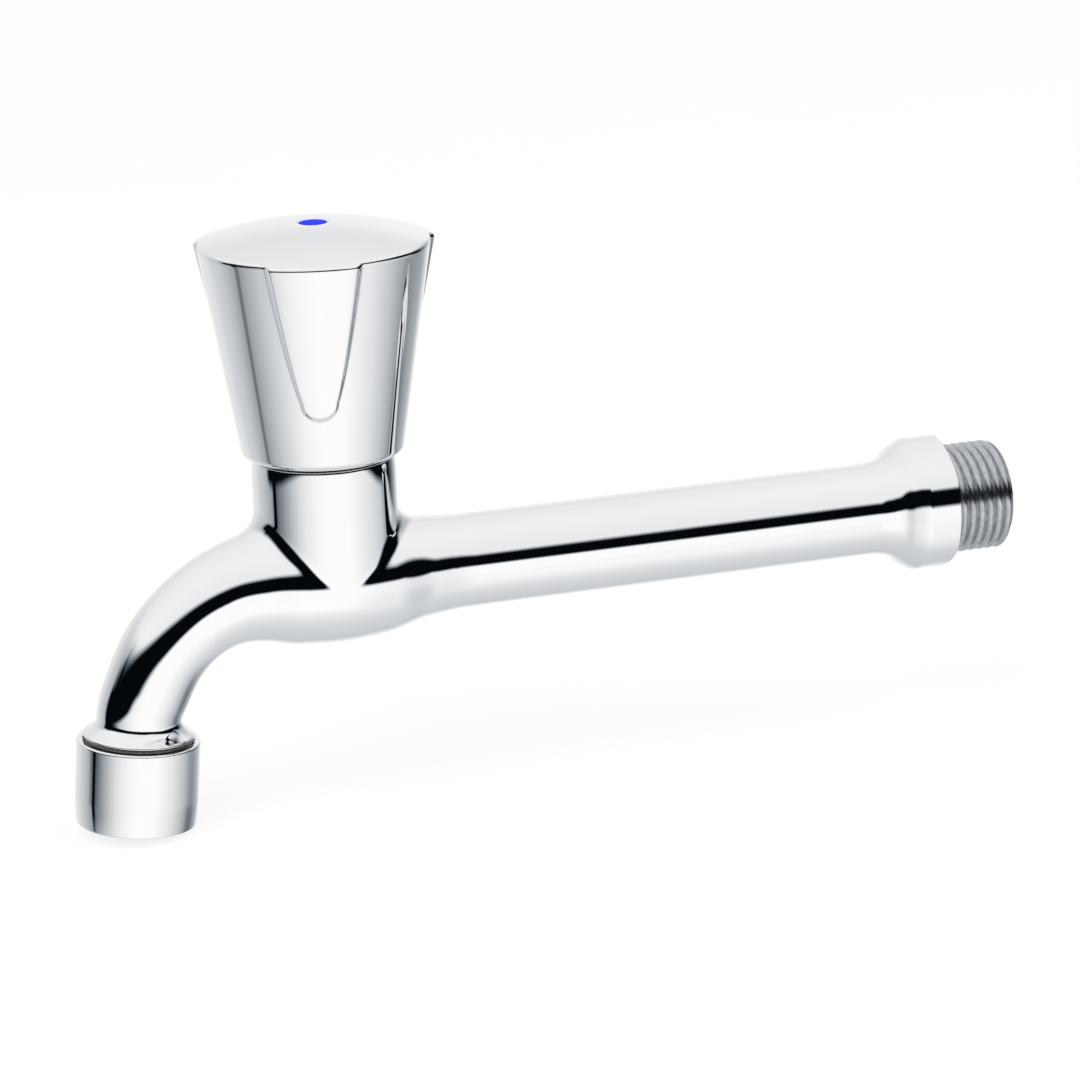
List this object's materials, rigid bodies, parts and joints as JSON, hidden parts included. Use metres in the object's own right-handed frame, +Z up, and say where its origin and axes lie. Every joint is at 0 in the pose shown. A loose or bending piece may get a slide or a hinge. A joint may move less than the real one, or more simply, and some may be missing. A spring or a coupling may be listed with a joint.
{
  "type": "bib tap",
  "caption": "wall bib tap with a long horizontal arm, curved down-turned spout with aerator, and a conical knob with raised ribs and an index disc; chrome",
  "frame": {"origin": "centre of the inlet's sealing shoulder, on the arm's axis", "axes": "+X along the arm towards the wall, out of the inlet; +Z up, along the handle's axis; the tap is symmetric about XZ apart from the handle's ribs and the collar's hexagon"},
  "size_m": [0.1839, 0.0439, 0.1099],
  "materials": {
    "chrome_body": "polished chrome plate on cast brass",
    "chrome_handle": "polished chrome plate on moulded metal",
    "chrome_sleeve": "polished chrome plate on turned brass",
    "brass_bonnet": "machined brass",
    "brass_spindle": "machined brass",
    "fibre": "pressed red fibre",
    "seal_rubber": "matt black rubber",
    "washer_rubber": "matt black rubber",
    "slip_plastic": "white low-friction plastic",
    "spring_steel": "bright steel",
    "core_plastic": "moulded off-white plastic",
    "index_cream": "glossy cream plastic",
    "index_blue": "glossy deep blue plastic",
    "aerator_plastic": "white moulded plastic",
    "screen_plastic": "grey moulded plastic"
  },
  "bodies": {
    "body": {"tap_body": "chrome_body", "bonnet_gasket": "fibre", "bonnet": "brass_bonnet", "outlet_sleeve": "chrome_sleeve", "outlet_gasket": "seal_rubber", "aerator_cage": "aerator_plastic", "aerator_inlet_screen": "screen_plastic", "aerator_diffuser": "aerator_plastic", "aerator_outlet_screen": "screen_plastic"},
    "handle": {"handle_shell": "chrome_handle", "handle_core": "core_plastic", "handle_screw": "spring_steel", "index_plug": "index_cream", "index_disc": "index_blue", "spindle": "brass_spindle", "spindle_o_ring_lower": "seal_rubber", "spindle_o_ring_upper": "seal_rubber", "thrust_washer": "slip_plastic", "retaining_ring": "spring_steel"},
    "valve": {"valve_carrier": "brass_spindle", "valve_washer": "washer_rubber", "washer_screw": "brass_spindle"}
  },
  "joints": [
    {"name": "handle_turn", "type": "hinge", "parent": "body", "child": "handle", "pos_m": [-0.1219, 0, 0.03], "axis": [0, 0, 1], "range_deg": [0, 900]},
    {"name": "valve_lift", "type": "slide", "parent": "body", "child": "valve", "axis": [0, 0, 1], "range_m": [0, 0.00375]}
  ],
  "couplings": [
    {"joint": "handle_turn", "follows": "valve_lift", "rad_per_m": 4188.8}
  ]
}
